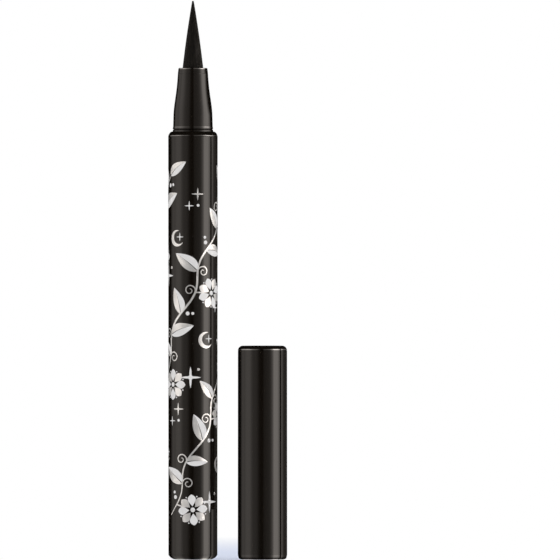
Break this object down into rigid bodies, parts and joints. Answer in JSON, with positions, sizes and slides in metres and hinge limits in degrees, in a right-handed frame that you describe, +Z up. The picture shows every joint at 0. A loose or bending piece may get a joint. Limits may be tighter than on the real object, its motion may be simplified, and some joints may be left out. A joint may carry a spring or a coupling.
{
  "type": "eyeliner",
  "caption": "Black liquid eyeliner pen with a long felt nib, standing uncapped with its cap beside it; ink tank, collector and sprung inner cap inside.",
  "frame": {"origin": "centre of the flat foot of the pen, on the surface that it stands on", "axes": "+Z up the pen's axis towards the nib's point, +X from the pen's axis to the axis of the cap that stands beside it, +Y away from the viewer of the picture"},
  "size_m": [0.0252, 0.0104, 0.1187],
  "materials": {
    "gloss_black": "glossy injection-moulded warm black",
    "satin_black": "satin black",
    "inked_felt": "bonded fibre soaked in black ink",
    "feed_fibre": "pressed polyester fibre",
    "milky_plastic": "natural milky polypropylene",
    "seal_rubber": "matte black nitrile",
    "steel": "bright stainless steel"
  },
  "bodies": {
    "pen": {"barrel": "gloss_black", "end_plug": "gloss_black", "nozzle": "gloss_black", "nib_collar": "satin_black", "nib": "inked_felt", "feed_rod": "feed_fibre", "collector": "milky_plastic", "collector_seal": "seal_rubber"},
    "ball": {"stirring_ball": "steel"},
    "cap": {"cap_shell": "gloss_black", "cap_crown": "gloss_black", "cap_spring": "steel"},
    "inner_cap": {"inner_cap": "milky_plastic"}
  },
  "joints": [
    {"name": "cap_lift", "type": "slide", "parent": "pen", "child": "cap", "axis": [0, 0, 1], "range_m": [0, 0.125]},
    {"name": "inner_cap_travel", "type": "slide", "parent": "cap", "child": "inner_cap", "axis": [0, 0, 1], "range_m": [0, 0.0015], "stiffness_N_per_m": 200, "springref_m": -0.002, "deforming": ["cap_spring"]},
    {"name": "ball_travel", "type": "slide", "parent": "pen", "child": "ball", "axis": [0, 0, 1], "range_m": [0, 0.0545]}
  ]
}
